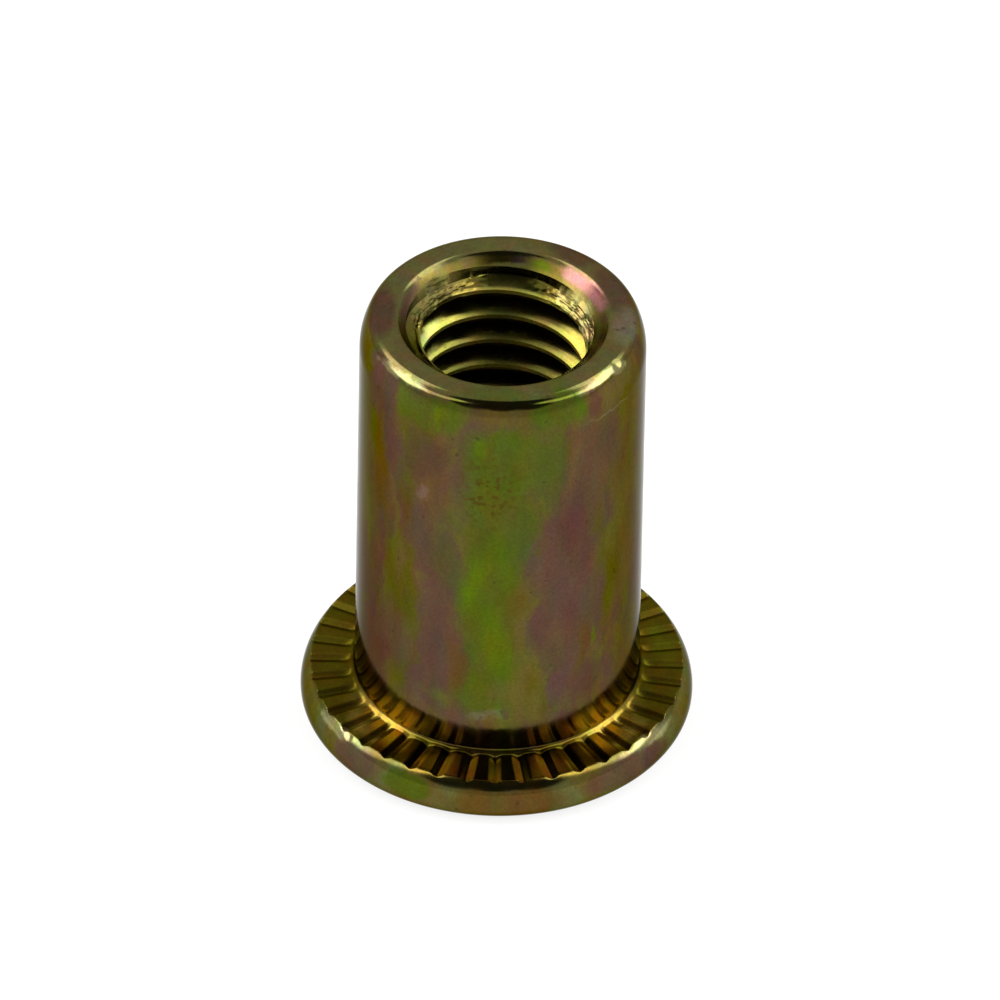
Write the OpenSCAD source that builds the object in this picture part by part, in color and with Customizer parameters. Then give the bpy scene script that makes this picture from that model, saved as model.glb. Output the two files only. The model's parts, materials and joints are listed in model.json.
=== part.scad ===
// Blind rivet nut with a flat serrated head, standing on its head.
// The axis is Z and the origin is the centre of the head's outer face.
// The threaded end points up, and the screw comes in from below, through the head.

/* [Barrel] */
// Overall length, from the head's outer face to the threaded end
overall_length = 15.5; // [13:0.5:25]
// Outside diameter of the barrel
barrel_d = 9; // [8.6:0.1:10.6]
// Height of the curved lead-in at the threaded end
lead_in_height = 1.2; // [0.6:0.1:1.8]
// Radius of the lead-in's curve
lead_in_radius = 2.2; // [1.9:0.1:3]
// Rounding between the lead-in and the end face
end_rounding = 0.4; // [0.05:0.05:0.5]
// Width of the ring at the threaded end, from its outer rounding to the countersunk mouth
end_ring_width = 0.55; // [0.3:0.05:1]
// Rounding of the mouth's edge, which takes up part of the ring
mouth_edge_rounding = 0.25; // [0.05:0.05:0.3]

/* [Head] */
// Diameter of the head at its widest
head_d = 12.4; // [12:0.1:14]
// Thickness of the head, up to the lands between its serrations
head_thickness = 1.5; // [1.2:0.05:2]
// Diameter at which the serrated seat meets the crowned rim
seat_d = 11.75; // [11:0.05:11.9]
// Rounding between the seat and the rim
seat_edge_rounding = 0.05; // [0.03:0.01:0.1]
// Rounding of the rim's outer edge, below its widest place
rim_edge_rounding = 0.6; // [0.2:0.05:0.8]
// Fillet where the barrel stands on the head
root_fillet = 0.2; // [0.1:0.05:0.3]

/* [Serrations] */
// Number of radial serrations round the seat
serration_count = 40; // [24:1:48]
// Width of one serration where it opens at the lands
serration_width = 0.45; // [0.3:0.05:0.6]
// Depth of one serration below the lands
serration_depth = 0.08; // [0.04:0.01:0.15]

/* [Threaded bore] */
// Diameter of the bore that carries the thread, at the thread's crests
thread_bore_d = 5.15; // [4.6:0.05:5.4]
// Included angle of the countersunk mouth, in degrees
mouth_angle = 90; // [60:5:120]

/* [Collapse zone] */
// Thickness of the wall that folds when the nut is set
collapse_wall = 0.9; // [0.6:0.05:1.2]
// Depth of the plain bore, from the head's outer face
collapse_depth = 7; // [4:0.25:8]
// Included angle of the step between the plain bore and the thread, in degrees
step_angle = 120; // [90:5:140]
// Chamfer at the head's opening
opening_chamfer = 0.3; // [0.1:0.05:0.6]

/* [Hidden] */
$fn = 96;

// Chords in each round stretch of the section, and in each small rounded edge
arc_steps = 14;
edge_steps = 4;
// How far a cutter runs past the surface that it opens
overrun = 1;
// Where the serrations begin, as a share of the root fillet's width
serration_start_share = 0.5;

barrel_r = barrel_d / 2;
head_r = head_d / 2;
seat_r = seat_d / 2;
thread_bore_r = thread_bore_d / 2;
collapse_r = barrel_r - collapse_wall;

// The rim's crown starts upright at the head's widest place and is rounded off into the seat
crown_width = head_r - seat_r;
crown_height = head_thickness - rim_edge_rounding;
crown_radius = (crown_width * crown_width + crown_height * crown_height) / (2 * crown_width);
crown_centre = [head_r - crown_radius, rim_edge_rounding];
seat_edge_reach = crown_radius - seat_edge_rounding;
seat_edge_angle = asin((crown_height - seat_edge_rounding) / seat_edge_reach);
seat_edge_centre = crown_centre + seat_edge_reach * [cos(seat_edge_angle), sin(seat_edge_angle)];

// The end rounding touches the lead-in's curve and the end face
shoulder_z = overall_length - lead_in_height;
lead_in_centre = [barrel_r - lead_in_radius, shoulder_z];
rounding_reach = lead_in_radius - end_rounding;
rounding_angle = asin((lead_in_height - end_rounding) / rounding_reach);
rounding_centre = lead_in_centre + rounding_reach * [cos(rounding_angle), sin(rounding_angle)];

// The mouth's edge turns from the end face into the countersink
mouth_r = rounding_centre[0] - end_ring_width;
mouth_turn = 90 - mouth_angle / 2;
mouth_edge_centre = [
    mouth_r + mouth_edge_rounding * tan(mouth_turn / 2),
    overall_length - mouth_edge_rounding
];

// Heights of the thread's two ends inside the bore
thread_top_z = overall_length - (mouth_r - thread_bore_r) / tan(mouth_angle / 2);
thread_bottom_z = collapse_depth + (collapse_r - thread_bore_r) / tan(step_angle / 2);

// Each serration is a shallow V, and its cutter rises clear of the lands
serration_half = serration_width / 2;
serration_start = barrel_r + root_fillet * serration_start_share;
serration_length = head_r + overrun - serration_start;
cutter_height = serration_depth + overrun;

// Points on a round stretch, from one angle to another
function arc(centre, radius, from, to, steps = arc_steps) = [
    for (i = [0 : steps])
        let (angle = from + (to - from) * i / steps)
            centre + radius * [cos(angle), sin(angle)]
];

outside = concat(
    arc([head_r - rim_edge_rounding, rim_edge_rounding], rim_edge_rounding, -90, 0),
    arc(crown_centre, crown_radius, 0, seat_edge_angle),
    arc(seat_edge_centre, seat_edge_rounding, seat_edge_angle, 90, edge_steps),
    arc([barrel_r + root_fillet, head_thickness + root_fillet], root_fillet, 270, 180),
    arc(lead_in_centre, lead_in_radius, 0, rounding_angle),
    arc(rounding_centre, end_rounding, rounding_angle, 90)
);

inside = concat(
    arc(mouth_edge_centre, mouth_edge_rounding, 90, 90 + mouth_turn, edge_steps),
    [
        [thread_bore_r, thread_top_z],
        [thread_bore_r, thread_bottom_z],
        [collapse_r, collapse_depth],
        [collapse_r, opening_chamfer],
        [collapse_r + opening_chamfer, 0]
    ]
);

// Cutter of one serration, lying along +X with its point down
module serration() {
    translate([serration_start, 0, head_thickness - serration_depth])
        rotate([90, 0, 90])
            linear_extrude(serration_length)
                polygon([
                    [0, 0],
                    [serration_half, serration_depth],
                    [serration_half, cutter_height],
                    [-serration_half, cutter_height],
                    [-serration_half, serration_depth]
                ]);
}

module rivet_nut() {
    color([0.47, 0.43, 0.2])
        difference() {
            rotate_extrude()
                polygon(concat(outside, inside));
            for (i = [0 : serration_count - 1])
                rotate([0, 0, 360 * i / serration_count])
                    serration();
        }
}

rivet_nut();
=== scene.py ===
"""Plated rivet nut and its studio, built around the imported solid."""
import json
import math
from types import SimpleNamespace

import bpy
from bpy.props import FloatProperty, FloatVectorProperty, IntProperty, PointerProperty
from mathutils import Matrix, Vector, noise


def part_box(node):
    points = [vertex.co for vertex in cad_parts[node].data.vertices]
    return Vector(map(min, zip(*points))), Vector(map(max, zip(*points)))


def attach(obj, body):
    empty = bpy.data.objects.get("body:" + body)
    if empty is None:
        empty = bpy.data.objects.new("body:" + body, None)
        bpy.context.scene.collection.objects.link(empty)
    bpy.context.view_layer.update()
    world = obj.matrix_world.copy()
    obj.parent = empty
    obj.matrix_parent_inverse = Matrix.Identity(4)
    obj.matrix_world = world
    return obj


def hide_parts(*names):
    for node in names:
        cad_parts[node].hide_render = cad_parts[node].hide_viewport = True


bl_info = {
    "name": "Rivet nut",
    "version": (1, 0, 0),
    "blender": (4, 5, 0),
    "location": "View3D > Sidebar > Rivet nut",
    "description": "Models a plated rivet nut with its thread and serrations, and a studio for it",
    "category": "Object",
}

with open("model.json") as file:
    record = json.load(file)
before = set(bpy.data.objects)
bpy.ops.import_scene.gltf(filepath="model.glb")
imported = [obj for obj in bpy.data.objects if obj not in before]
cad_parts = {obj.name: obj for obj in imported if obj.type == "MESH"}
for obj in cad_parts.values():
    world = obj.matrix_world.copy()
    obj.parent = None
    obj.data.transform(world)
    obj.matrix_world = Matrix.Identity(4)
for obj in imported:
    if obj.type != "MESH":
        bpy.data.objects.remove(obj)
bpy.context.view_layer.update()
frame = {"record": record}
NODE = "rivet_nut"
BODY = "root"

MM = 0.001
MOUNTS = {mount["name"]: mount for mount in frame["record"]["mounts"]}
LOW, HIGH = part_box(NODE)


def mount_radius(name):
    """Radius of one of the record's round mounts, in metres."""
    return MOUNTS[name]["dims"]["r_mm"] * MM


def length(label, what, default):
    """A size in metres that the sidebar can change."""
    return FloatProperty(
        name=label, description=what, default=default, min=0.0, unit="LENGTH", precision=6
    )


def angle(label, what, degrees):
    """An angle that the sidebar can change, given in degrees."""
    return FloatProperty(
        name=label, description=what, default=math.radians(degrees), subtype="ANGLE"
    )


def colour(label, what, red, green, blue):
    """A plating colour, given as it looks on a screen, from 0 to 255."""
    return FloatVectorProperty(
        name=label,
        description=what,
        default=[screen_to_linear(value) for value in (red, green, blue)],
        min=0.0,
        max=1.0,
        size=3,
        subtype="COLOR",
    )


def screen_to_linear(value):
    """One colour channel from 0 to 255 on a screen, as linear light."""
    share = value / 255
    return share / 12.92 if share <= 0.04045 else ((share + 0.055) / 1.055) ** 2.4


class RivetNutSizes(bpy.types.PropertyGroup):
    """Sizes of the nut's section, its serrations and its thread."""

    overall_length: length("Overall length", "Head face to threaded end", HIGH.z - LOW.z)
    head_radius: length("Head radius", "Widest place of the head", HIGH.x)
    barrel_radius: length("Barrel radius", "Outside of the barrel", mount_radius("barrel"))
    passage_radius: length(
        "Passage radius", "Plain bore of the collapse zone", mount_radius("screw_passage")
    )
    crest_radius: length("Crest radius", "Bore at the thread's crests", mount_radius("thread"))
    head_thickness: length("Head thickness", "Head face to the serrated seat", 1.5 * MM)
    seat_radius: length("Seat radius", "Where the seat meets the rim", 5.875 * MM)
    seat_edge: length("Seat edge", "Rounding between the seat and the rim", 0.05 * MM)
    rim_rounding: length("Rim rounding", "Rounding of the rim's lower edge", 0.6 * MM)
    root_fillet: length("Root fillet", "Fillet between barrel and head", 0.2 * MM)
    lead_in_height: length("Lead-in height", "Height of the curved threaded end", 1.2 * MM)
    lead_in_radius: length("Lead-in radius", "Radius of that curve", 2.2 * MM)
    end_rounding: length("End rounding", "Between the lead-in and the end face", 0.4 * MM)
    end_ring: length("End ring", "Ring at the end, up to the countersunk mouth", 0.55 * MM)
    mouth_edge: length("Mouth edge", "Rounding of the mouth's edge", 0.25 * MM)
    mouth_angle: angle("Mouth angle", "Included angle of the countersunk mouth", 90)
    collapse_depth: length("Collapse depth", "Depth of the plain bore", 7.0 * MM)
    step_height: length("Step height", "Cone between the plain bore and the thread", 0.592 * MM)
    opening_chamfer: length("Opening chamfer", "Chamfer at the head's opening", 0.3 * MM)
    serrations: IntProperty(
        name="Serrations", description="Radial serrations round the seat", default=40, min=3
    )
    serration_width: length("Serration width", "Width of a serration at the seat", 0.45 * MM)
    serration_depth: length("Serration depth", "Depth of a serration below the seat", 0.08 * MM)
    thread_radius: length("Thread radius", "Thread at its roots", 3.06 * MM)
    pitch: length("Thread pitch", "Rise of one turn", 1.0 * MM)
    root_flat: length("Thread root flat", "Width of a root", 0.3 * MM)
    thread_start: length("Thread start", "Height of a root at the +X side", 5.7 * MM)


class RivetNutStudio(bpy.types.PropertyGroup):
    """Camera, lamps and floor of the studio."""

    elevation: angle("Elevation", "How far the camera looks down", 39.46)
    roll: angle("Roll", "Turn of the camera", 1.1)
    distance: length("Distance", "Camera to the nut's axis", 884 * MM)
    aim_height: length("Aim height", "Point on the axis that the camera looks at", 8.1 * MM)
    frame_width: length("Frame width", "What the picture spans at the axis", 31.46 * MM)
    lamp_rise: angle("Lamp rise", "Height of the lamps above the horizon", 30)
    lamp_turn: angle("Lamp turn", "How far the lamps stand towards the camera", 10)
    lamp_aim: length("Lamp aim", "Point on the axis that the lamps look at", 8 * MM)
    lamp_distance: length("Lamp distance", "Lamp to that point", 120 * MM)
    lamp_size: length("Lamp size", "Side of a lamp", 100 * MM)
    lamp_power: FloatProperty(
        name="Lamp power", description="Light of one lamp", default=0.06, min=0.0, unit="POWER"
    )
    floor_size: length("Floor size", "Side of the paper floor", 1200 * MM)


CIRCLE = 2 * math.pi
# Steps round the axis of the turned body and of the tap, and the tap's turns
TURN_STEPS = 640
THREAD_STEPS = 144
THREAD_TURNS = 11
# Vertices this close, in metres, are merged
MERGE = 1e-7
# Share of the rim's crown past which its rows are finer, for the serrations' ends
FINE_CROWN_SHARE = 0.75
# A serration's point is blunt by this share of its half width, and fades in over so many fillets
POINT_BLUNTNESS = 0.12
FILLET_RUN = 1.8
# Slope of the thread's flanks, and how far the tap's core stays inside the crests, in pitches
FLANK_ANGLE = math.radians(30)
CORE_SHARE = 1 / 8


def straight(start, end, steps):
    """Points from start towards end, without end."""
    return [start.lerp(end, step / steps) for step in range(steps)]


def arc(centre, radius, start, end, steps):
    """Points of a round stretch, from one angle to another, both ends included."""
    angles = [start + (end - start) * step / steps for step in range(steps + 1)]
    return [centre + radius * Vector((math.cos(a), math.sin(a))) for a in angles]


def rounded(before, corner, after, radius, steps):
    """Points of the arc that rounds one corner of a section."""
    back = (before - corner).normalized()
    ahead = (after - corner).normalized()
    half = back.angle(ahead) / 2
    centre = corner + (back + ahead).normalized() * radius / math.sin(half)
    first = corner + back * radius / math.tan(half) - centre
    sweep = math.pi - 2 * half
    if back.x * ahead.y - back.y * ahead.x > 0:
        sweep = -sweep
    start = math.atan2(first.y, first.x)
    return arc(centre, radius, start, start + sweep, steps)


def nut_section(s):
    """Half section of the nut, radius and height, from the head's opening round the outside."""
    crown_width = s.head_radius - s.seat_radius
    crown_height = s.head_thickness - s.rim_rounding
    crown_radius = (crown_width**2 + crown_height**2) / (2 * crown_width)
    crown_angle = math.asin(crown_height / crown_radius)
    shoulder = s.overall_length - s.lead_in_height
    lead_centre = Vector((s.barrel_radius - s.lead_in_radius, shoulder))
    reach = s.lead_in_radius - s.end_rounding
    end_angle = math.asin((s.lead_in_height - s.end_rounding) / reach)
    end_centre = lead_centre + reach * Vector((math.cos(end_angle), math.sin(end_angle)))
    mouth_radius = end_centre.x - s.end_ring
    taper = (mouth_radius - s.crest_radius) / math.tan(s.mouth_angle / 2)
    thread_top = s.overall_length - taper

    opening = Vector((s.passage_radius + s.opening_chamfer, 0))
    rim_foot = Vector((s.head_radius - s.rim_rounding, 0))
    seat_edge = Vector((s.seat_radius, s.head_thickness))
    seat_foot = Vector((s.barrel_radius + s.root_fillet, s.head_thickness))
    barrel_foot = Vector((s.barrel_radius, s.head_thickness + s.root_fillet))
    barrel_top = Vector((s.barrel_radius, shoulder))
    end_edge = Vector((end_centre.x, s.overall_length))
    mouth = Vector((mouth_radius, s.overall_length))
    crest_top = Vector((s.crest_radius, thread_top))
    crest_foot = Vector((s.crest_radius, s.collapse_depth + s.step_height))
    passage_top = Vector((s.passage_radius, s.collapse_depth))
    passage_foot = Vector((s.passage_radius, s.opening_chamfer))

    crown_centre = Vector((s.head_radius - crown_radius, s.rim_rounding))
    rim_centre = rim_foot + Vector((0, s.rim_rounding))
    fine_start = FINE_CROWN_SHARE * crown_angle
    crown = arc(crown_centre, crown_radius, 0, fine_start, 9)
    crown += arc(crown_centre, crown_radius, fine_start, crown_angle, 8)[1:]
    edge = rounded(crown[-2], seat_edge, seat_foot, s.seat_edge, 4)
    fillet_centre = Vector((seat_foot.x, barrel_foot.y))
    quarter = math.pi / 2
    points = straight(opening, rim_foot, 2)
    points += arc(rim_centre, s.rim_rounding, -quarter, 0, 10)
    points += crown[1:-2]
    points += edge
    points += straight(edge[-1], seat_foot, 9)[1:]
    points += arc(fillet_centre, s.root_fillet, 3 * quarter, 2 * quarter, 9)
    points += straight(barrel_foot, barrel_top, 3)[1:]
    points += arc(lead_centre, s.lead_in_radius, 0, end_angle, 12)
    points += arc(end_centre, s.end_rounding, end_angle, quarter, 8)[1:]
    lip = rounded(end_edge, mouth, crest_top, s.mouth_edge, 6)
    points += straight(end_edge, lip[0], 3)[1:]
    points += lip
    points += straight(lip[-1], crest_top, 5)[1:]
    points += straight(crest_top, crest_foot, 4)
    points += [crest_foot]
    points += straight(passage_top, passage_foot, 2)
    points += [passage_foot]
    return points


def thread_section(s):
    """One pitch of the tap that cuts the thread, radius and height, tooth in the middle."""
    inner = s.crest_radius - s.pitch * CORE_SHARE
    flank = (s.thread_radius - inner) * math.tan(FLANK_ANGLE)
    root = s.root_flat / 2
    base = s.thread_start
    low = Vector((inner, base - root - flank))
    high = Vector((inner, base + root + flank))
    root_low = Vector((s.thread_radius, base - root))
    root_high = Vector((s.thread_radius, base + root))
    points = [Vector((inner, base - s.pitch / 2))]
    points += straight(low, root_low, 4)
    points += [root_low]
    points += straight(root_high, high, 4)
    points += [high, Vector((inner, base + s.pitch / 2))]
    return points


def draw_section(name, points, closed):
    """A line through the points in the XZ plane, drawn by extruding one vertex."""
    bpy.ops.object.select_all(action="DESELECT")
    bpy.ops.mesh.primitive_plane_add(size=MM, location=(0, 0, 0))
    piece = bpy.context.object
    piece.name = name
    bpy.ops.object.mode_set(mode="EDIT")
    bpy.ops.mesh.select_all(action="SELECT")
    bpy.ops.mesh.merge(type="CENTER")
    steps = [points[0]] + [b - a for a, b in zip(points, points[1:])]
    bpy.ops.transform.translate(value=(steps[0].x, 0, steps[0].y))
    for step in steps[1:]:
        bpy.ops.mesh.extrude_region_move(TRANSFORM_OT_translate={"value": (step.x, 0, step.y)})
    if closed:
        bpy.ops.object.mode_set(mode="OBJECT")
        for vertex in piece.data.vertices:
            vertex.select = vertex.index in (0, len(points) - 1)
        bpy.ops.object.mode_set(mode="EDIT")
        bpy.ops.mesh.edge_face_add()
    bpy.ops.mesh.select_all(action="SELECT")
    return piece


def apply_modifier(piece, kind, **settings):
    """Adds one modifier with its settings and applies it."""
    modifier = piece.modifiers.new(kind.title(), kind)
    for key, value in settings.items():
        setattr(modifier, key, value)
    bpy.ops.object.select_all(action="DESELECT")
    piece.select_set(True)
    bpy.context.view_layer.objects.active = piece
    bpy.ops.object.modifier_apply(modifier=modifier.name)


def turn_nut(s):
    """The nut's plain body: its section spun round the axis."""
    piece = draw_section("plated_rivet_nut", nut_section(s), closed=True)
    bpy.ops.mesh.spin(steps=TURN_STEPS, angle=CIRCLE, center=(0, 0, 0), axis=(0, 0, 1))
    bpy.ops.mesh.select_all(action="SELECT")
    bpy.ops.mesh.remove_doubles(threshold=MERGE)
    bpy.ops.mesh.normals_make_consistent(inside=False)
    bpy.ops.object.mode_set(mode="OBJECT")
    return piece


def serration_drop(s, across):
    """Depth of a serration at a distance from its middle: a V with a slightly rounded point."""
    share = abs(across) / (s.serration_width / 2)
    if share >= 1:
        return 0.0
    top = math.hypot(1, POINT_BLUNTNESS)
    return s.serration_depth * (top - math.hypot(share, POINT_BLUNTNESS)) / (top - POINT_BLUNTNESS)


def press_serrations(piece, s):
    """Presses the serrations into the seat, through the rim's edge and up into the root fillet."""
    group = piece.vertex_groups.new(name="serrations")
    sector = CIRCLE / s.serrations
    lowest = s.head_thickness - s.serration_depth
    highest = s.head_thickness + s.root_fillet
    for vertex in piece.data.vertices:
        radius = math.hypot(vertex.co.x, vertex.co.y)
        height = vertex.co.z
        if radius < s.barrel_radius - MERGE or not lowest < height < highest:
            continue
        turn = math.atan2(vertex.co.y, vertex.co.x)
        across = radius * math.sin(turn - sector * round(turn / sector))
        run = min(1.0, (radius - s.barrel_radius) / (FILLET_RUN * s.root_fillet))
        depth = serration_drop(s, across) * run * run * (3 - 2 * run)
        drop = min(depth, max(0.0, height - s.head_thickness + depth))
        if drop > 0:
            group.add([vertex.index], drop / s.serration_depth, "REPLACE")
    apply_modifier(
        piece,
        "DISPLACE",
        direction="Z",
        mid_level=0.0,
        strength=-s.serration_depth,
        vertex_group=group.name,
    )


def close_end(piece, lowest):
    """Closes one open end of the tap with a fan to a point on the axis."""
    bpy.ops.mesh.select_all(action="DESELECT")
    bpy.ops.mesh.select_mode(type="EDGE")
    bpy.ops.mesh.select_non_manifold()
    bpy.ops.object.mode_set(mode="OBJECT")
    heights = [vertex.co.z for vertex in piece.data.vertices]
    middle = (min(heights) + max(heights)) / 2
    for edge in piece.data.edges:
        low = piece.data.vertices[edge.vertices[0]].co.z < middle
        edge.select = edge.select and low == lowest
    for vertex in piece.data.vertices:
        vertex.select = vertex.select and (vertex.co.z < middle) == lowest
    bpy.ops.object.mode_set(mode="EDIT")
    bpy.ops.mesh.extrude_edges_move()
    bpy.ops.mesh.merge(type="CENTER")


def make_tap(s):
    """The solid that cuts the thread: one tooth swept up a right-hand helix, closed at both ends."""
    tap = draw_section("tap", thread_section(s), closed=False)
    bpy.ops.object.mode_set(mode="OBJECT")
    apply_modifier(
        tap,
        "SCREW",
        axis="Z",
        angle=CIRCLE,
        screw_offset=s.pitch,
        iterations=THREAD_TURNS,
        steps=THREAD_STEPS,
        render_steps=THREAD_STEPS,
        use_merge_vertices=True,
        merge_threshold=MERGE,
    )
    bpy.ops.object.mode_set(mode="EDIT")
    bpy.ops.mesh.select_all(action="SELECT")
    bpy.ops.mesh.remove_doubles(threshold=MERGE)
    close_end(tap, lowest=True)
    close_end(tap, lowest=False)
    bpy.ops.mesh.select_all(action="SELECT")
    bpy.ops.mesh.normals_make_consistent(inside=False)
    bpy.ops.object.mode_set(mode="OBJECT")
    return tap


def cut_thread(piece, s):
    """Cuts the thread into the bore with the tap."""
    tap = make_tap(s)
    apply_modifier(piece, "BOOLEAN", operation="DIFFERENCE", solver="MANIFOLD", object=tap)
    bpy.data.objects.remove(tap)


# Torn stretches of the first turns: azimuth and half-width in degrees, heights in mm
TORN_STRETCHES = (
    (144, 56, 14.15, 15.05),
    (28, 52, 14.0, 14.95),
)
# Sizes of the torn metal in mm: its flakes, the cracks between them and the ridges on them
FLAKE_LENGTH = 1.1
FLAKE_WIDTH = 0.15
FLAKE_WAVER = 0.12
RIDGE_LENGTH = 0.3
RIDGE_WIDTH = 0.06
BURR_HEIGHT = 0.04
PIT_DEPTH = 0.06
# Torn metal partly fills the groove, up to this far outside the crests, in mm, by this share
FILL_GAP = 0.1
FILL_SHARE = 0.6
# How far outside the thread's roots a vertex may lie and still be torn, in mm
TORN_MARGIN = 0.02
# Mean radius of the bore in mm, the cracks' width as a share of a flake, and the flakes' slant
BORE_MEAN_RADIUS = 2.8
CRACK_SHARE = 0.22
FLAKE_SLANT = 0.7


def torn_share(point):
    """How strongly the thread is torn at a point of the bore, from 0 to 1."""
    azimuth = math.degrees(math.atan2(point.y, point.x))
    height = point.z / MM
    share = 0.0
    for middle, half, low, high in TORN_STRETCHES:
        aside = abs((azimuth - middle + 180) % 360 - 180) / half
        if aside < 1 and low < height < high:
            along = (height - low) / (high - low)
            share = max(share, (1 - aside**2) ** 2 * min(1.0, 4 * along, 5 * (1 - along)))
    return share


def torn_lift(point, pitch):
    """Lift of the torn metal at a point, from -1 to 1: long flakes that follow the thread."""
    turn = math.atan2(point.y, point.x)
    radius = math.hypot(point.x, point.y) / MM
    along = BORE_MEAN_RADIUS * turn
    across = (point.z - pitch * turn / CIRCLE) / MM + FLAKE_SLANT * radius
    waver = FLAKE_WAVER * noise.noise(Vector((along / 0.5, across / 0.4, 7)))
    spread, seeds = noise.voronoi(Vector((along / FLAKE_LENGTH, (across + waver) / FLAKE_WIDTH, 0)))
    crack = min(1.0, (spread[1] - spread[0]) / CRACK_SHARE)
    flake = noise.noise(seeds[0] * 7.3)
    ridge = noise.noise(Vector((along / RIDGE_LENGTH, across / RIDGE_WIDTH, 3)))
    return max(-1.0, min(1.0, 1.2 * flake * crack + 0.25 * ridge - 0.6 * (1 - crack)))


def tear_thread(piece, s):
    """Tears the first turns of the thread, as a blunt tap leaves them."""
    reach = s.thread_radius + TORN_MARGIN * MM

    def torn(point):
        inside = math.hypot(point.x, point.y) < reach
        return torn_share(point) if inside and point.z < s.overall_length else 0.0

    bpy.ops.object.mode_set(mode="EDIT")
    bpy.ops.mesh.select_mode(type="VERT")
    bpy.ops.mesh.select_all(action="DESELECT")
    bpy.ops.object.mode_set(mode="OBJECT")
    for vertex in piece.data.vertices:
        vertex.select = torn(vertex.co) > 0
    bpy.ops.object.mode_set(mode="EDIT")
    bpy.ops.mesh.quads_convert_to_tris()
    bpy.ops.mesh.subdivide(number_cuts=2)
    bpy.ops.object.mode_set(mode="OBJECT")
    filled = piece.vertex_groups.new(name="filled")
    burrs = piece.vertex_groups.new(name="burrs")
    pits = piece.vertex_groups.new(name="pits")
    for vertex in piece.data.vertices:
        share = torn(vertex.co)
        if share > 0:
            filled.add([vertex.index], share, "REPLACE")
            lift = share * torn_lift(vertex.co, s.pitch)
            group = burrs if lift > 0 else pits
            group.add([vertex.index], abs(lift), "REPLACE")
    apply_modifier(
        piece,
        "CAST",
        cast_type="CYLINDER",
        use_z=False,
        use_radius_as_size=False,
        size=s.crest_radius + FILL_GAP * MM,
        factor=FILL_SHARE,
        vertex_group="filled",
    )
    for name, lift in (("burrs", BURR_HEIGHT), ("pits", -PIT_DEPTH)):
        apply_modifier(piece, "DISPLACE", mid_level=0.0, strength=lift * MM, vertex_group=name)


# Dents from handling: azimuth in degrees, then radius, height, reach and depth in mm
NICKS = (
    (-31, 4.16, 15.4, 0.24, 0.022),
    (-25, 4.3, 15.2, 0.18, 0.015),
    (-141, 5.95, 1.42, 0.22, 0.02),
)


def dent_edges(piece):
    """Small dents on the nut's edges."""
    group = piece.vertex_groups.new(name="nicks")
    deepest = max(row[-1] for row in NICKS)
    for azimuth, radius, height, reach, depth in NICKS:
        turn = math.radians(azimuth)
        middle = Vector((radius * math.cos(turn), radius * math.sin(turn), height)) * MM
        for vertex in piece.data.vertices:
            away = (vertex.co - middle).length / (reach * MM)
            if away < 1:
                group.add([vertex.index], depth / deepest * (1 - away**2) ** 2, "REPLACE")
    apply_modifier(
        piece, "DISPLACE", mid_level=0.0, strength=-deepest * MM, vertex_group=group.name
    )


class RivetNutFilms(bpy.types.PropertyGroup):
    """Colours of the chromate film, as they look under white light, with a few colours of painted
    highlight, light and shade.
    """

    green: colour("Green", "Main green of the film", 75, 91, 14)
    lime: colour("Lime", "Brightest yellow green", 85, 103, 8)
    teal: colour("Teal", "Greyer green", 73, 83, 31)
    olive: colour("Olive", "Yellowish olive", 86, 80, 20)
    gold: colour("Gold", "Olive gold", 95, 84, 37)
    mauve: colour("Mauve", "Brownish mauve", 90, 67, 52)
    plum: colour("Plum", "Pinker mauve", 87, 58, 48)
    rust: colour("Rust", "Orange brown", 93, 69, 28)
    frost: colour("Frost", "Dull whitish marks", 124, 118, 98)
    # Pale: a thinner film on the rounded edges, laid only where the side highlights fall, partly
    # film colour, partly painted highlight that makes them whiter
    pale_film_highlight: colour("Pale", "Thin film on rounded edges", 168, 164, 112)
    pink: colour("Pink", "Pink of the countersink", 150, 100, 96)
    ring: colour("Ring", "Brown olive of the end ring", 100, 93, 54)
    rim: colour("Rim", "Grey olive of the head's side", 96, 94, 52)
    seat: colour("Seat", "Gold of the serrated seat", 73, 62, 11)
    # Amber: the seat's gold laid brighter at its front than at its sides, partly film colour, partly
    # painted light; on the barrel's foot it is a painted reflection of the seat
    amber_film_painted_light: colour("Amber", "Warm gold of the seat", 140, 118, 46)
    groove: colour("Groove", "Dull olive of the thread's flanks", 104, 98, 40)
    thread: colour("Thread", "Bare yellow metal of the thread", 190, 182, 84)
    torn: colour("Torn", "Torn metal at the thread's left", 92, 87, 44)
    straw: colour("Straw", "Torn metal at the thread's right", 176, 160, 100)
    # Shade: painted shade, a near-black colour laid in the groove at the back of the thread's start
    shade: colour("Shade", "Dark film at the thread's start", 24, 22, 8)
    speck: colour("Speck", "Brown specks on the green", 74, 58, 18)
    # Lemon and leaf: brighter crest colour at the thread's right and left ends, painted highlight
    # where the side lamps fall
    lemon_highlight: colour("Lemon", "Clear yellow at the thread's right", 208, 188, 82)
    leaf_highlight: colour("Leaf", "Clear green at the thread's left", 206, 212, 120)


# Film patches: colour, azimuth in degrees, radius and height in mm, half sizes in mm
# (radial, across and up), strength and softness of the edge
def barrel_patch(film, azimuth, height, across, up, strength=0.75, edge=0.7):
    """One patch on the barrel's outside."""
    return film, azimuth, 4.5, height, (2.2, across, up), strength, edge


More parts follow.
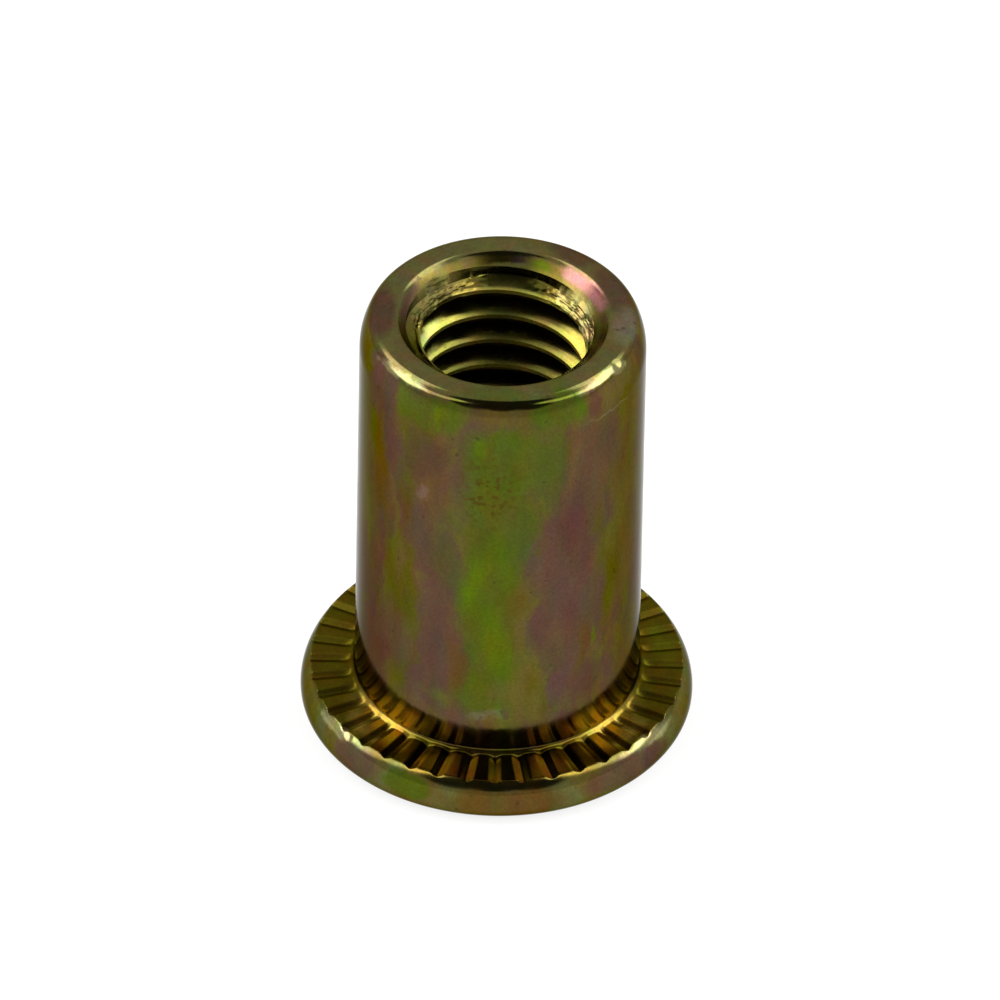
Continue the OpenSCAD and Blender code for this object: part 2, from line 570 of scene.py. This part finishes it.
BARREL_PATCHES = (
    barrel_patch("gold", -158, 10.8, 0.95, 4.1),
    barrel_patch("rust", -145, 11.2, 0.49, 3.9),
    barrel_patch("mauve", -138, 14.6, 0.47, 1.6),
    barrel_patch("plum", -122, 12.7, 0.95, 1.5),
    barrel_patch("rust", -130, 10.6, 0.45, 1.4),
    barrel_patch("mauve", -121, 9.4, 0.45, 1.6),
    barrel_patch("olive", -141, 7.7, 0.72, 1.45),
    barrel_patch("olive", -132, 6.8, 0.42, 1.05),
    barrel_patch("gold", -30, 8.6, 0.9, 4.6),
    barrel_patch("gold", -25, 13.4, 0.7, 1.3),
    barrel_patch("mauve", -58, 7.3, 1.5, 5.3, strength=0.85),
    barrel_patch("mauve", -47, 12.4, 1.7, 3.2, strength=0.85),
    barrel_patch("plum", -58, 9.9, 1.0, 2.6),
    barrel_patch("mauve", -137, 4.8, 1.7, 2.0, strength=0.85),
    barrel_patch("plum", -142, 4.2, 0.8, 1.1),
    barrel_patch("mauve", -114, 7.3, 0.45, 1.0),
    barrel_patch("mauve", -54, 13.9, 1.0, 0.5),
    barrel_patch("plum", -48, 14.9, 0.4, 0.7),
    barrel_patch("green", -88, 13.4, 2.05, 1.75, edge=0.5),
    barrel_patch("green", -93, 11.0, 1.7, 2.5, edge=0.5),
    barrel_patch("green", -97, 8.5, 1.4, 2.5, edge=0.5),
    barrel_patch("green", -94, 5.9, 1.35, 2.5, edge=0.5),
    barrel_patch("green", -96, 3.9, 1.45, 1.4, edge=0.5),
    barrel_patch("green", -120, 14.9, 1.3, 1.05, edge=0.5),
    barrel_patch("lime", -117, 15.0, 0.35, 0.75, strength=0.7, edge=0.8),
    barrel_patch("gold", -95, 15.1, 1.4, 0.6),
    barrel_patch("green", -67, 15.0, 1.3, 0.8, edge=0.5),
    barrel_patch("teal", -70, 12.5, 0.9, 2.1),
    barrel_patch("teal", -82, 9.9, 0.55, 2.5),
    barrel_patch("teal", -114, 9.0, 0.38, 1.7, strength=0.5),
    barrel_patch("lime", -102, 8.4, 0.6, 1.9, strength=0.8, edge=0.8),
    barrel_patch("lime", -89, 6.4, 0.65, 1.6, strength=0.6, edge=0.8),
    barrel_patch("lime", -97, 13.7, 0.4, 0.75, strength=0.7, edge=0.8),
    barrel_patch("lime", -113, 3.3, 0.5, 0.8, strength=0.5, edge=0.9),
    barrel_patch("rust", -107, 4.85, 0.5, 1.3),
    barrel_patch("gold", -86, 4.1, 0.75, 1.1),
    barrel_patch("olive", -94, 11.8, 0.55, 1.45),
    barrel_patch("rust", -54, 5.0, 0.38, 1.45),
    barrel_patch("lime", -48, 5.3, 0.2, 0.65),
    barrel_patch("teal", -68, 5.3, 0.5, 1.3, strength=0.3, edge=0.8),
    barrel_patch("plum", -49, 3.6, 0.85, 1.0),
    barrel_patch("frost", -97, 3.0, 0.7, 0.4, strength=0.35, edge=0.8),
    barrel_patch("mauve", -89, 3.15, 0.25, 0.4),
    barrel_patch("frost", -121, 11.35, 0.25, 0.4, strength=0.35, edge=0.8),
    barrel_patch("green", 150, 9.0, 1.6, 4.5, edge=0.5),
    barrel_patch("lime", 140, 6.5, 0.7, 2.2),
    barrel_patch("plum", 110, 11.0, 1.2, 3.0),
    barrel_patch("olive", 75, 7.5, 1.3, 4.0),
    barrel_patch("green", 40, 11.5, 1.5, 2.6, edge=0.5),
    barrel_patch("teal", 25, 6.0, 1.0, 3.0),
    barrel_patch("rust", 5, 9.5, 0.7, 3.6),
    barrel_patch("mauve", 175, 5.0, 1.0, 2.2),
)

EDGE_PATCHES = (
    ("frost", -40, 4.5, 14.22, (0.5, 1.5, 0.07), 0.4, 0.9),
    # Pale rows: paler film where the side highlights fall on the end rounding and the rim, partly
    # film colour, partly painted highlight
    ("pale_film_highlight", -140, 4.2, 15.36, (0.2, 1.9, 0.2), 0.6, 0.7),
    ("pale_film_highlight", -40, 4.2, 15.36, (0.2, 1.9, 0.2), 0.6, 0.7),
    ("pale_film_highlight", -145, 6.0, 1.35, (0.3, 1.9, 0.25), 0.7, 0.6),
    ("pale_film_highlight", -37, 6.0, 1.35, (0.3, 1.9, 0.25), 0.7, 0.6),
    ("plum", 178, 3.85, 15.5, (0.6, 1.6, 0.3), 0.8, 0.5),
    ("mauve", 20, 3.75, 15.5, (0.6, 1.8, 0.3), 0.8, 0.5),
    ("plum", 56, 3.85, 15.5, (0.5, 1.1, 0.3), 0.7, 0.5),
    ("green", -95, 3.8, 15.5, (0.6, 1.6, 0.25), 0.4, 0.6),
    ("pink", 33, 3.12, 15.24, (0.45, 1.7, 0.45), 1.0, 0.5),
    ("green", 68, 3.12, 15.24, (0.3, 0.5, 0.3), 0.9, 0.6),
    ("frost", -4, 3.85, 15.5, (0.6, 1.3, 0.3), 0.55, 0.7),
    # Painted shade: darkens the groove at the back of the thread's start
    ("shade", 86, 3.06, 14.9, (0.2, 1.6, 0.3), 1.0, 0.4),
    ("green", -117, 6.1, 0.9, (0.6, 1.0, 0.55), 0.85, 0.3),
    ("mauve", -136, 6.1, 0.9, (0.6, 1.2, 0.7), 0.85, 0.4),
    ("mauve", -48, 6.1, 0.9, (0.6, 2.0, 0.6), 0.85, 0.4),
    ("plum", -35, 6.1, 0.8, (0.6, 0.8, 0.5), 0.7, 0.4),
    ("rust", -86, 6.1, 0.7, (0.6, 2.6, 0.8), 0.9, 0.5),
    # Amber rows: brighter gold on the seat's front and front sides, painted light over the film
    # colour, and on the barrel's foot a painted reflection of the seat
    ("amber_film_painted_light", -90, 5.2, 1.5, (0.85, 3.4, 0.3), 0.9, 0.4),
    ("amber_film_painted_light", -137, 5.1, 1.5, (0.75, 1.5, 0.3), 0.9, 0.5),
    ("amber_film_painted_light", -43, 5.1, 1.5, (0.75, 1.5, 0.3), 0.9, 0.5),
    ("green", 10, 5.3, 1.5, (0.6, 1.4, 0.25), 0.3, 0.6),
    ("amber_film_painted_light", -143, 4.5, 1.85, (0.9, 2.1, 0.85), 0.9, 0.7),
    ("amber_film_painted_light", -37, 4.5, 1.85, (0.9, 2.1, 0.85), 0.9, 0.7),
)

SPECKLED_PATCH = ("speck", -95, 4.5, 12.0, (2.2, 1.5, 2.4), 0.8, 0.8)

CREST_PATCHES = (
    ("torn", 95, 3.0, 15.12, (0.16, 2.6, 0.12), 1.0, 0.7),
    # Lemon and leaf rows: painted highlight on the crests' right and left ends
    ("lemon_highlight", 16, 2.6, 13.2, (0.3, 1.6, 1.2), 0.8, 0.8),
    ("leaf_highlight", 160, 2.6, 13.4, (0.3, 1.7, 1.3), 0.8, 0.8),
    # Groove row: painted shade, darker crests at the back centre, away from the side lamps
    ("groove", 92, 2.6, 12.9, (0.4, 1.4, 3.2), 0.75, 0.8),
)

TORN_PATCHES = (
    ("torn", 144, 2.88, 14.72, (0.65, 2.1, 0.75), 0.95, 0.45),
    ("straw", 28, 2.8, 14.5, (0.6, 1.9, 0.7), 0.95, 0.5),
)


def add_node(tree, kind, inputs=None, **settings):
    """A node with its settings; an input takes a value, or the socket that feeds it."""
    node = tree.nodes.new(kind)
    for key, value in settings.items():
        setattr(node, key, value)
    for key, value in (inputs or {}).items():
        if isinstance(value, bpy.types.NodeSocket):
            tree.links.new(value, node.inputs[key])
        else:
            node.inputs[key].default_value = value
    return node


def add_group(name, inputs, outputs):
    """An empty node group with its sockets, and its two end nodes."""
    tree = bpy.data.node_groups.new(name, "ShaderNodeTree")
    for label, kind in inputs:
        tree.interface.new_socket(name=label, in_out="INPUT", socket_type="NodeSocket" + kind)
    for label, kind in outputs:
        tree.interface.new_socket(name=label, in_out="OUTPUT", socket_type="NodeSocket" + kind)
    return tree, tree.nodes.new("NodeGroupInput"), tree.nodes.new("NodeGroupOutput")


def film_patch_group():
    """One soft patch of film colour, an ellipsoid round a point of the surface."""
    tree, start, end = add_group(
        "film_patch",
        (
            ("Under", "Color"),
            ("Film", "Color"),
            ("Point", "Vector"),
            ("Centre", "Vector"),
            ("Turn", "Vector"),
            ("Size", "Vector"),
            ("Strength", "Float"),
            ("Edge", "Float"),
        ),
        (("Colour", "Color"), ("Share", "Float")),
    )
    place = add_node(
        tree,
        "ShaderNodeMapping",
        {
            "Vector": start.outputs["Point"],
            "Location": start.outputs["Centre"],
            "Rotation": start.outputs["Turn"],
            "Scale": start.outputs["Size"],
        },
        vector_type="TEXTURE",
    )
    ball = add_node(
        tree, "ShaderNodeTexGradient", {"Vector": place.outputs[0]}, gradient_type="SPHERICAL"
    )
    share = add_node(
        tree,
        "ShaderNodeMapRange",
        {
            "Value": ball.outputs["Fac"],
            "From Min": 0.0,
            "From Max": start.outputs["Edge"],
            "To Min": 0.0,
            "To Max": start.outputs["Strength"],
        },
        interpolation_type="SMOOTHSTEP",
    )
    mix = add_mix(tree, share.outputs[0], start.outputs["Under"], start.outputs["Film"])
    tree.links.new(mix, end.inputs["Colour"])
    tree.links.new(share.outputs[0], end.inputs["Share"])
    return tree


def add_patch(tree, patch, films, row, point, under):
    """One row of a patch table, laid over the colour under it."""
    film, azimuth, radius, height, size, strength, edge = row
    turn = math.radians(azimuth)
    values = {
        "Under": under,
        "Film": (*getattr(films, film), 1),
        "Point": point,
        "Centre": (radius * math.cos(turn), radius * math.sin(turn), height),
        "Turn": (0, 0, turn),
        "Size": size,
        "Strength": strength,
        "Edge": edge,
    }
    return add_node(tree, "ShaderNodeGroup", values, node_tree=patch)


def add_mix(tree, share, under, over, blend="MIX"):
    """Mixes two colours by a share, and gives the colour that comes out."""
    node = tree.nodes.new("ShaderNodeMix")
    node.data_type = "RGBA"
    node.blend_type = blend
    for socket, value in ((node.inputs[0], share), (node.inputs[6], under), (node.inputs[7], over)):
        if isinstance(value, bpy.types.NodeSocket):
            tree.links.new(value, socket)
        elif socket.type == "RGBA":
            socket.default_value = (*value, 1)
        else:
            socket.default_value = value
    return node.outputs[2]


def add_range(tree, value, low, high, bottom=0.0, top=1.0):
    """A value eased from one range to another."""
    node = add_node(
        tree,
        "ShaderNodeMapRange",
        {"Value": value, "From Min": low, "From Max": high, "To Min": bottom, "To Max": top},
        interpolation_type="SMOOTHSTEP",
    )
    return node.outputs[0]


def add_math(tree, operation, first, second):
    """One sum on two values."""
    node = add_node(tree, "ShaderNodeMath", {0: first, 1: second}, operation=operation)
    return node.outputs[0]


def add_noise(tree, point, scale, detail, stretch=None):
    """A noise texture, stretched along the axes on request."""
    if stretch:
        turned = add_node(tree, "ShaderNodeMapping", {"Vector": point, "Scale": stretch})
        point = turned.outputs[0]
    return add_node(
        tree, "ShaderNodeTexNoise", {"Vector": point, "Scale": scale, "Detail": detail}
    )


# Middle of a noise texture's colour
HALF = (0.5, 0.5, 0.5)


def wander(tree, point, scale, reach):
    """A point that noise moves about, so that borders wander."""
    texture = add_noise(tree, point, scale, 3, (1, 1, 0.55))
    centred = add_node(
        tree,
        "ShaderNodeVectorMath",
        {0: texture.outputs["Color"], 1: HALF},
        operation="SUBTRACT",
    )
    moved = add_node(
        tree,
        "ShaderNodeVectorMath",
        {0: centred.outputs[0], 1: (reach, reach, reach), 2: point},
        operation="MULTIPLY_ADD",
    )
    return moved.outputs[0]


# Heights and radii in mm over which one zone of the finish fades into the next
END_RING_HEIGHTS = (15.33, 15.47)
SEAT_HEIGHTS = (1.75, 1.52)
RIM_HEIGHTS = (1.4, 1.25)
RIM_RADII = (5.84, 5.92)
BORE_RADII = (3.1, 2.98)
BORE_HEIGHTS = (7.6, 7.9)
CREST_RADII = (2.74, 2.6)
CONE_RADII = (3.3, 3.2)
CONE_HEIGHTS = (14.9, 15.1)
# How much of the film under them the thread's flanks and crests cover
GROOVE_COVER = 0.8
CREST_COVER = 0.9
# Cracks in the torn metal: how they stretch along and across a turn, their width and strength
CRACK_STRETCH = (1.7, 5.5, 1)
CRACK_WIDTHS = (0.024, 0.006)
CRACK_STRENGTH = 0.75
# Dark of the cracks and of the specks, and the metal's tint seen edge-on, as linear light
CRACK_DARK = (0.01, 0.009, 0.004)
SPECK_DARK = (0.03, 0.028, 0.012)
EDGE_TINT = (0.48, 0.47, 0.43)
# Roughness of the polished metal, and what the seat (from its front to its sides, in mm across),
# the cone and the dull metal add to it
POLISH_ROUGHNESS = (0.1, 0.16)
SATIN_SIDES = (3.2, 4.8)
SATIN_ROUGHNESS = (0.03, 0.2)
CONE_ROUGHNESS = 0.14
DULL_ROUGHNESS = 0.32


def add_zone(tree, spot, radii, heights):
    """Share of a zone that fades in over a range of radii and a range of heights."""
    inside = add_range(tree, spot.radius, *radii)
    return add_math(tree, "MULTIPLY", inside, add_range(tree, spot.height, *heights))


def add_cracks(tree, axes):
    """Thin lines that run with the thread's turns, from 0 to their full strength."""
    ahead = add_math(tree, "MULTIPLY", axes.outputs["Y"], -1)
    turn = add_math(tree, "ARCTAN2", axes.outputs["X"], ahead)
    rise = add_math(tree, "MULTIPLY", turn, -1 / CIRCLE)
    climb = add_math(tree, "ADD", axes.outputs["Z"], rise)
    unrolled = add_node(tree, "ShaderNodeCombineXYZ", {"X": turn, "Y": climb})
    texture = add_noise(tree, unrolled.outputs[0], 1.0, 4, CRACK_STRETCH)
    off = add_math(tree, "SUBTRACT", texture.outputs[0], 0.5)
    away = add_math(tree, "ABSOLUTE", off, 0)
    return add_range(tree, away, *CRACK_WIDTHS, 0.0, CRACK_STRENGTH)


def surface_spot(tree):
    """A spot on the nut: its place, height and radius in mm, and two points that wander about it."""
    coords = add_node(tree, "ShaderNodeTexCoord")
    metre = 1 / MM
    scaled = add_node(
        tree,
        "ShaderNodeMapping",
        {"Vector": coords.outputs["Object"], "Scale": (metre, metre, metre)},
    )
    point = scaled.outputs[0]
    axes = add_node(tree, "ShaderNodeSeparateXYZ", {"Vector": point})
    flat = add_node(tree, "ShaderNodeMapping", {"Vector": point, "Scale": (1, 1, 0)})
    reach = add_node(tree, "ShaderNodeVectorMath", {0: flat.outputs[0]}, operation="LENGTH")
    loose = wander(tree, wander(tree, point, 0.45, 2.0), 1.5, 0.7)
    loose = wander(tree, wander(tree, loose, 5.0, 0.25), 16, 0.2)
    near = wander(tree, wander(tree, point, 1.5, 0.35), 5.0, 0.15)
    return SimpleNamespace(
        point=point,
        axes=axes,
        height=axes.outputs["Z"],
        radius=reach.outputs["Value"],
        loose=loose,
        near=near,
    )


def zone_films(tree, films, spot):
    """Film colours of the barrel, the end ring, the seat and the rim, and the seat's share."""
    streaks = add_noise(tree, spot.loose, 0.8, 4, (1, 1, 0.22)).outputs[0]
    base = add_mix(tree, add_range(tree, streaks, 0.42, 0.58), films.mauve, films.gold)
    drift = add_noise(tree, spot.loose, 0.5, 3, (1, 1, 0.4)).outputs[0]
    base = add_mix(tree, add_range(tree, drift, 0.55, 0.68), base, films.olive)
    base = add_mix(tree, add_range(tree, spot.height, *END_RING_HEIGHTS), base, films.ring)
    head_share = add_range(tree, spot.height, *SEAT_HEIGHTS)
    base = add_mix(tree, head_share, base, films.seat)
    low_share = add_range(tree, spot.height, *RIM_HEIGHTS)
    rim_share = add_math(tree, "MAXIMUM", low_share, add_range(tree, spot.radius, *RIM_RADII))
    rim_share = add_math(tree, "MULTIPLY", rim_share, head_share)
    rim = add_mix(tree, add_range(tree, streaks, 0.4, 0.6), films.rim, films.gold)
    seat_share = add_math(tree, "SUBTRACT", head_share, rim_share)
    return add_mix(tree, rim_share, base, rim), seat_share


def bore_films(tree, films, patch, spot, base):
    """Film colours of the thread, its crests and its torn turns, with painted highlight at the
    crests' ends and painted shade at the back, and the share of dull metal.
    """
    bore = add_zone(tree, spot, BORE_RADII, BORE_HEIGHTS)
    base = add_mix(tree, add_math(tree, "MULTIPLY", bore, GROOVE_COVER), base, films.groove)
    crest = add_math(tree, "MULTIPLY", bore, add_range(tree, spot.radius, *CREST_RADII))
    base = add_mix(tree, add_math(tree, "MULTIPLY", crest, CREST_COVER), base, films.thread)
    dull = crest
    for row in CREST_PATCHES:
        laid = add_patch(tree, patch, films, row, spot.near, base)
        base = laid.outputs["Colour"]
        dull = add_math(tree, "MAXIMUM", dull, laid.outputs["Share"])
    cracks = add_cracks(tree, spot.axes)
    for row in TORN_PATCHES:
        torn = add_patch(tree, patch, films, row, spot.near, base)
        share = torn.outputs["Share"]
        cracked = add_math(tree, "MULTIPLY", share, cracks)
        base = add_mix(tree, cracked, torn.outputs["Colour"], CRACK_DARK)
        dull = add_math(tree, "MAXIMUM", dull, share)
    return base, dull


def fine_marks(tree, films, patch, spot, base):
    """Tints, grain, dark specks and brown dots over the film."""
    tint = add_noise(tree, spot.point, 1.6, 4, (1, 1, 0.35))
    hue = add_node(
        tree, "ShaderNodeVectorMath", {0: tint.outputs["Color"], 1: HALF}, operation="ADD"
    )
    base = add_mix(tree, 0.8, base, hue.outputs[0], "MULTIPLY")
    grain = add_noise(tree, spot.point, 11, 4)
    shade = add_range(tree, grain.outputs[0], 0.3, 0.7, 0.9, 1.1)
    base = add_mix(tree, 1.0, base, shade, "MULTIPLY")
    specks = add_noise(tree, spot.point, 3.2, 2)
    speck_share = add_range(tree, specks.outputs[0], 0.69, 0.76, 0.0, 0.5)
    base = add_mix(tree, speck_share, base, SPECK_DARK)
    dots = add_noise(tree, spot.point, 5.5, 3)
    spotted = add_patch(tree, patch, films, SPECKLED_PATCH, spot.near, base)
    dotted = add_range(tree, dots.outputs[0], 0.53, 0.62)
    dot_share = add_math(tree, "MULTIPLY", spotted.outputs["Share"], dotted)
    return add_mix(tree, dot_share, base, films.speck)


def metal_roughness(tree, spot, seat_share, dull):
    """Roughness: polished metal, satin at the seat's sides, duller in the cone and the thread."""
    polish = add_noise(tree, spot.point, 1.4, 3)
    rough = add_range(tree, polish.outputs[0], 0.3, 0.7, *POLISH_ROUGHNESS)
    aside = add_math(tree, "ABSOLUTE", spot.axes.outputs["X"], 0)
    satin = add_range(tree, aside, *SATIN_SIDES, *SATIN_ROUGHNESS)
    rough = add_math(tree, "ADD", rough, add_math(tree, "MULTIPLY", satin, seat_share))
    cone = add_zone(tree, spot, CONE_RADII, CONE_HEIGHTS)
    rough = add_math(tree, "ADD", rough, add_math(tree, "MULTIPLY", cone, CONE_ROUGHNESS))
    return add_math(tree, "ADD", rough, add_math(tree, "MULTIPLY", dull, DULL_ROUGHNESS))


def plating(films):
    """The chromated zinc finish: patches of film colour over metal, some of them painted highlight,
    light and shade, with grain and specks.
    """
    material = bpy.data.materials.new("chromated_zinc")
    material.use_nodes = True
    tree = material.node_tree
    shader = tree.nodes["Principled BSDF"]
    spot = surface_spot(tree)
    patch = film_patch_group()
    base, seat_share = zone_films(tree, films, spot)
    for place, patches in ((spot.loose, BARREL_PATCHES), (spot.near, EDGE_PATCHES)):
        for row in patches:
            base = add_patch(tree, patch, films, row, place, base).outputs["Colour"]
    base, dull = bore_films(tree, films, patch, spot, base)
    base = fine_marks(tree, films, patch, spot, base)
    rough = metal_roughness(tree, spot, seat_share, dull)
    tree.links.new(base, shader.inputs["Base Color"])
    tree.links.new(rough, shader.inputs["Roughness"])
    shader.inputs["Metallic"].default_value = 1
    shader.inputs["Specular Tint"].default_value = (*EDGE_TINT, 1)
    return material


# Angle in degrees between faces past which an edge stays sharp
SHARP_EDGE = 22


class RIVETNUT_OT_make_nut(bpy.types.Operator):
    """Turns the nut, presses its serrations, cuts its thread and plates it"""

    bl_idname = "rivet_nut.make_nut"
    bl_label = "Make the rivet nut"
    bl_options = {"REGISTER", "UNDO"}

    def execute(self, context):
        sizes = context.scene.rivet_nut_sizes
        nut = turn_nut(sizes)
        press_serrations(nut, sizes)
        cut_thread(nut, sizes)
        tear_thread(nut, sizes)
        dent_edges(nut)
        bpy.ops.object.shade_smooth_by_angle(angle=math.radians(SHARP_EDGE))
        nut.data.materials.clear()
        nut.data.materials.append(plating(context.scene.rivet_nut_films))
        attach(nut, BODY)
        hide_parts(NODE)
        return {"FINISHED"}


# Lightness of the paper, and the share of its own glow where the camera or the metal sees it
PAPER_WHITE = (0.9, 0.9, 0.9, 1)
GLOW_SHARE = 0.8


def white_paper():
    """A white paper that stays white in the picture and in the metal, and keeps a soft shadow."""
    material = bpy.data.materials.new("white_paper")
    material.use_nodes = True
    tree = material.node_tree
    tree.nodes.clear()
    path = add_node(tree, "ShaderNodeLightPath")
    seen = add_math(tree, "ADD", path.outputs["Is Camera Ray"], path.outputs["Is Glossy Ray"])
    seen = add_math(tree, "ADD", seen, path.outputs["Is Transmission Ray"])
    share = add_math(tree, "MULTIPLY", seen, GLOW_SHARE)
    paper = add_node(tree, "ShaderNodeBsdfDiffuse", {"Color": PAPER_WHITE})
    glow = add_node(tree, "ShaderNodeEmission", {"Strength": 1})
    mix = add_node(
        tree, "ShaderNodeMixShader", {0: share, 1: paper.outputs[0], 2: glow.outputs[0]}
    )
    add_node(tree, "ShaderNodeOutputMaterial", {"Surface": mix.outputs[0]})
    return material


def towards(azimuth, elevation):
    """Unit vector that points at an azimuth and an elevation."""
    across = math.cos(elevation)
    return Vector((across * math.cos(azimuth), across * math.sin(azimuth), math.sin(elevation)))


def add_softbox(name, azimuth, studio):
    """An area lamp that lights the paper from the nut's side; the metal sees the tent's panels."""
    away = towards(azimuth, studio.lamp_rise)
    place = Vector((0, 0, studio.lamp_aim)) + away * studio.lamp_distance
    bpy.ops.object.light_add(type="AREA", location=place)
    lamp = bpy.context.object
    lamp.name = name
    lamp.rotation_euler = away.to_track_quat("Z", "Y").to_euler()
    lamp.data.shape = "SQUARE"
    lamp.data.size = studio.lamp_size
    lamp.data.energy = studio.lamp_power
    lamp.visible_camera = False
    lamp.visible_glossy = False


# Light of the white tent, and of its dark opening
TENT_LEVEL = 0.8
OPENING_LEVEL = 0.05
# Round parts of the opening, and the tent's bright panels: azimuth, elevation, and the reach of
# the full light and of the soft edge round it, in degrees, then a panel's light
OPENINGS = (
    (-90, 30, 17, 22),
    (-67, 28, 15, 20),
    (-113, 28, 15, 20),
    (-90, 44, 26, 34),
    (-90, 57, 26, 34),
    (-90, 66, 16, 24),
)
PANELS = (
    (-48, 41, 4, 11, 3.2),
    (-38, 34, 6, 13, 4.0),
    (-26, 30, 7, 15, 4.5),
    (-8, 26, 9, 22, 5.0),
    (6, 40, 6, 20, 4.5),
    (28, 50, 8, 19, 5.0),
    (48, 55, 6, 15, 4.5),
)


def tent_share(tree, direction, azimuth, elevation, full, edge):
    """How far a direction lies inside a round, soft-edged part of the tent, from 0 to 1."""
    middle = towards(math.radians(azimuth), math.radians(elevation))
    near = add_node(
        tree, "ShaderNodeVectorMath", {0: direction, 1: middle}, operation="DOT_PRODUCT"
    )
    limits = (math.cos(math.radians(edge)), math.cos(math.radians(full)))
    return add_range(tree, near.outputs["Value"], *limits)


def studio_world():
    """A white tent with a long dark opening above the camera and bright panels at its sides."""
    world = bpy.data.worlds.new("studio_tent")
    world.use_nodes = True
    tree = world.node_tree
    coords = add_node(tree, "ShaderNodeTexCoord")
    direction = coords.outputs["Generated"]
    opening = 0.0
    for row in OPENINGS:
        opening = add_math(tree, "MAXIMUM", tent_share(tree, direction, *row), opening)
    level = add_range(tree, opening, 0, 1, TENT_LEVEL, OPENING_LEVEL)
    for azimuth, elevation, full, edge, bright in PANELS:
        for side in (azimuth, 180 - azimuth):
            share = tent_share(tree, direction, side, elevation, full, edge)
            level = add_math(tree, "MAXIMUM", level, add_math(tree, "MULTIPLY", share, bright))
    tree.links.new(level, tree.nodes["Background"].inputs["Strength"])
    tree.nodes["Background"].inputs["Color"].default_value = (1, 1, 1, 1)
    return world


class RIVETNUT_OT_set_studio(bpy.types.Operator):
    """Sets the paper floor, the lamps, the tent and the camera"""

    bl_idname = "rivet_nut.set_studio"
    bl_label = "Set the studio"
    bl_options = {"REGISTER", "UNDO"}

    def execute(self, context):
        studio = context.scene.rivet_nut_studio
        bpy.ops.object.select_all(action="DESELECT")
        bpy.ops.mesh.primitive_plane_add(size=studio.floor_size, location=(0, 0, 0))
        floor = context.object
        floor.name = "paper_floor"
        floor.data.materials.append(white_paper())

        add_softbox("softbox_right", -studio.lamp_turn, studio)
        add_softbox("softbox_left", math.pi + studio.lamp_turn, studio)
        context.scene.world = studio_world()

        aim = Vector((0, 0, studio.aim_height))
        away = Vector((0, -math.cos(studio.elevation), math.sin(studio.elevation)))
        bpy.ops.object.camera_add(location=aim + away * studio.distance)
        camera = context.object
        camera.name = "studio_camera"
        level = away.to_track_quat("Z", "Y").to_matrix()
        camera.rotation_euler = (level @ Matrix.Rotation(studio.roll, 3, "Z")).to_euler()
        camera.data.sensor_fit = "HORIZONTAL"
        camera.data.lens = camera.data.sensor_width * studio.distance / studio.frame_width
        context.scene.camera = camera
        context.scene.view_settings.view_transform = "Standard"
        return {"FINISHED"}


class RIVETNUT_PT_panel(bpy.types.Panel):
    """Sidebar panel with the steps in order"""

    bl_idname = "RIVETNUT_PT_panel"
    bl_label = "Rivet nut"
    bl_space_type = "VIEW_3D"
    bl_region_type = "UI"
    bl_category = "Rivet nut"

    def draw(self, context):
        layout = self.layout
        layout.operator(RIVETNUT_OT_make_nut.bl_idname)
        layout.operator(RIVETNUT_OT_set_studio.bl_idname)


CLASSES = (
    RivetNutSizes,
    RivetNutFilms,
    RivetNutStudio,
    RIVETNUT_OT_make_nut,
    RIVETNUT_OT_set_studio,
    RIVETNUT_PT_panel,
)


def register():
    for item in CLASSES:
        bpy.utils.register_class(item)
    bpy.types.Scene.rivet_nut_sizes = PointerProperty(type=RivetNutSizes)
    bpy.types.Scene.rivet_nut_films = PointerProperty(type=RivetNutFilms)
    bpy.types.Scene.rivet_nut_studio = PointerProperty(type=RivetNutStudio)


def unregister():
    del bpy.types.Scene.rivet_nut_studio
    del bpy.types.Scene.rivet_nut_films
    del bpy.types.Scene.rivet_nut_sizes
    for item in reversed(CLASSES):
        bpy.utils.unregister_class(item)


def main():
    register()
    bpy.ops.rivet_nut.make_nut()
    bpy.ops.rivet_nut.set_studio()


if __name__ == "__main__":
    main()
